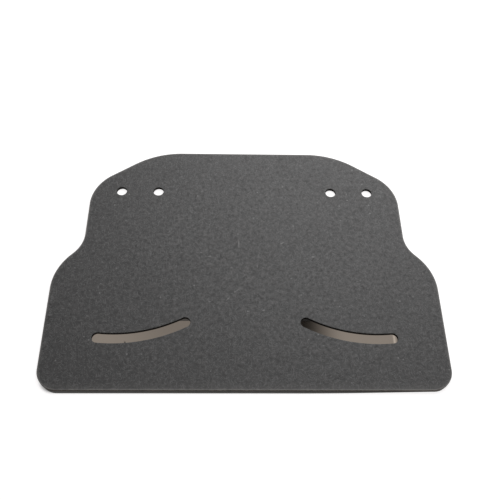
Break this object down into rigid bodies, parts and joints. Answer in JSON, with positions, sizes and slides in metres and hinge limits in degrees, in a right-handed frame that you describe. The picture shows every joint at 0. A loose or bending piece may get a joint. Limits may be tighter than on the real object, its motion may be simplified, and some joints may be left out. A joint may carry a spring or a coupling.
{
  "type": "back protector plate",
  "caption": "Flat stiff back protector plate of three bonded sheets, with stepped shoulders, round strap holes and mirrored curved slots.",
  "frame": {"origin": "centre of the bounding box's bottom face: on the underside, midway across and midway along the plate", "axes": "+Z out of the grained face, +Y towards the narrow shoulder end, +X to the right seen from the face"},
  "size_m": [0.35, 0.2536, 0.0034],
  "materials": {
    "grained_facing": "matte, finely mottled dark grey facing with pale fibre flecks",
    "fibre_core": "brown-black pressed fibre, rough where it is cut",
    "plain_lining": "plain dark lining, matte"
  },
  "bodies": {
    "root": {"face_sheet": "grained_facing", "core_board": "fibre_core", "back_sheet": "plain_lining"}
  },
  "joints": []
}
